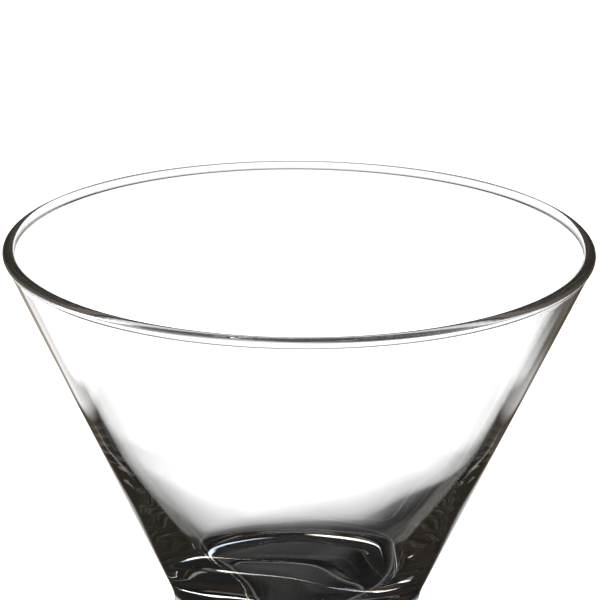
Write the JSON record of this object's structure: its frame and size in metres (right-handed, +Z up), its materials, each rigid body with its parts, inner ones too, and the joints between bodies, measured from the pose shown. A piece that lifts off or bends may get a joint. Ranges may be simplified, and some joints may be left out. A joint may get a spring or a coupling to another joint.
{
  "type": "double_old_fashioned_glass",
  "caption": "Clear glass tumbler with a wide V-shaped bowl, a rounded lip, a solid waisted stem and a heavy flared foot",
  "frame": {"origin": "On the axis, on the surface that the foot's ring stands on", "axes": "+Z runs up the axis of the glass from the foot to the rim; the glass is round, so X and Y are free"},
  "size_m": [0.118, 0.118, 0.105],
  "materials": {
    "clear_glass": "polished"
  },
  "bodies": {
    "root": {"bowl": "clear_glass", "stem": "clear_glass", "foot": "clear_glass"}
  },
  "joints": []
}
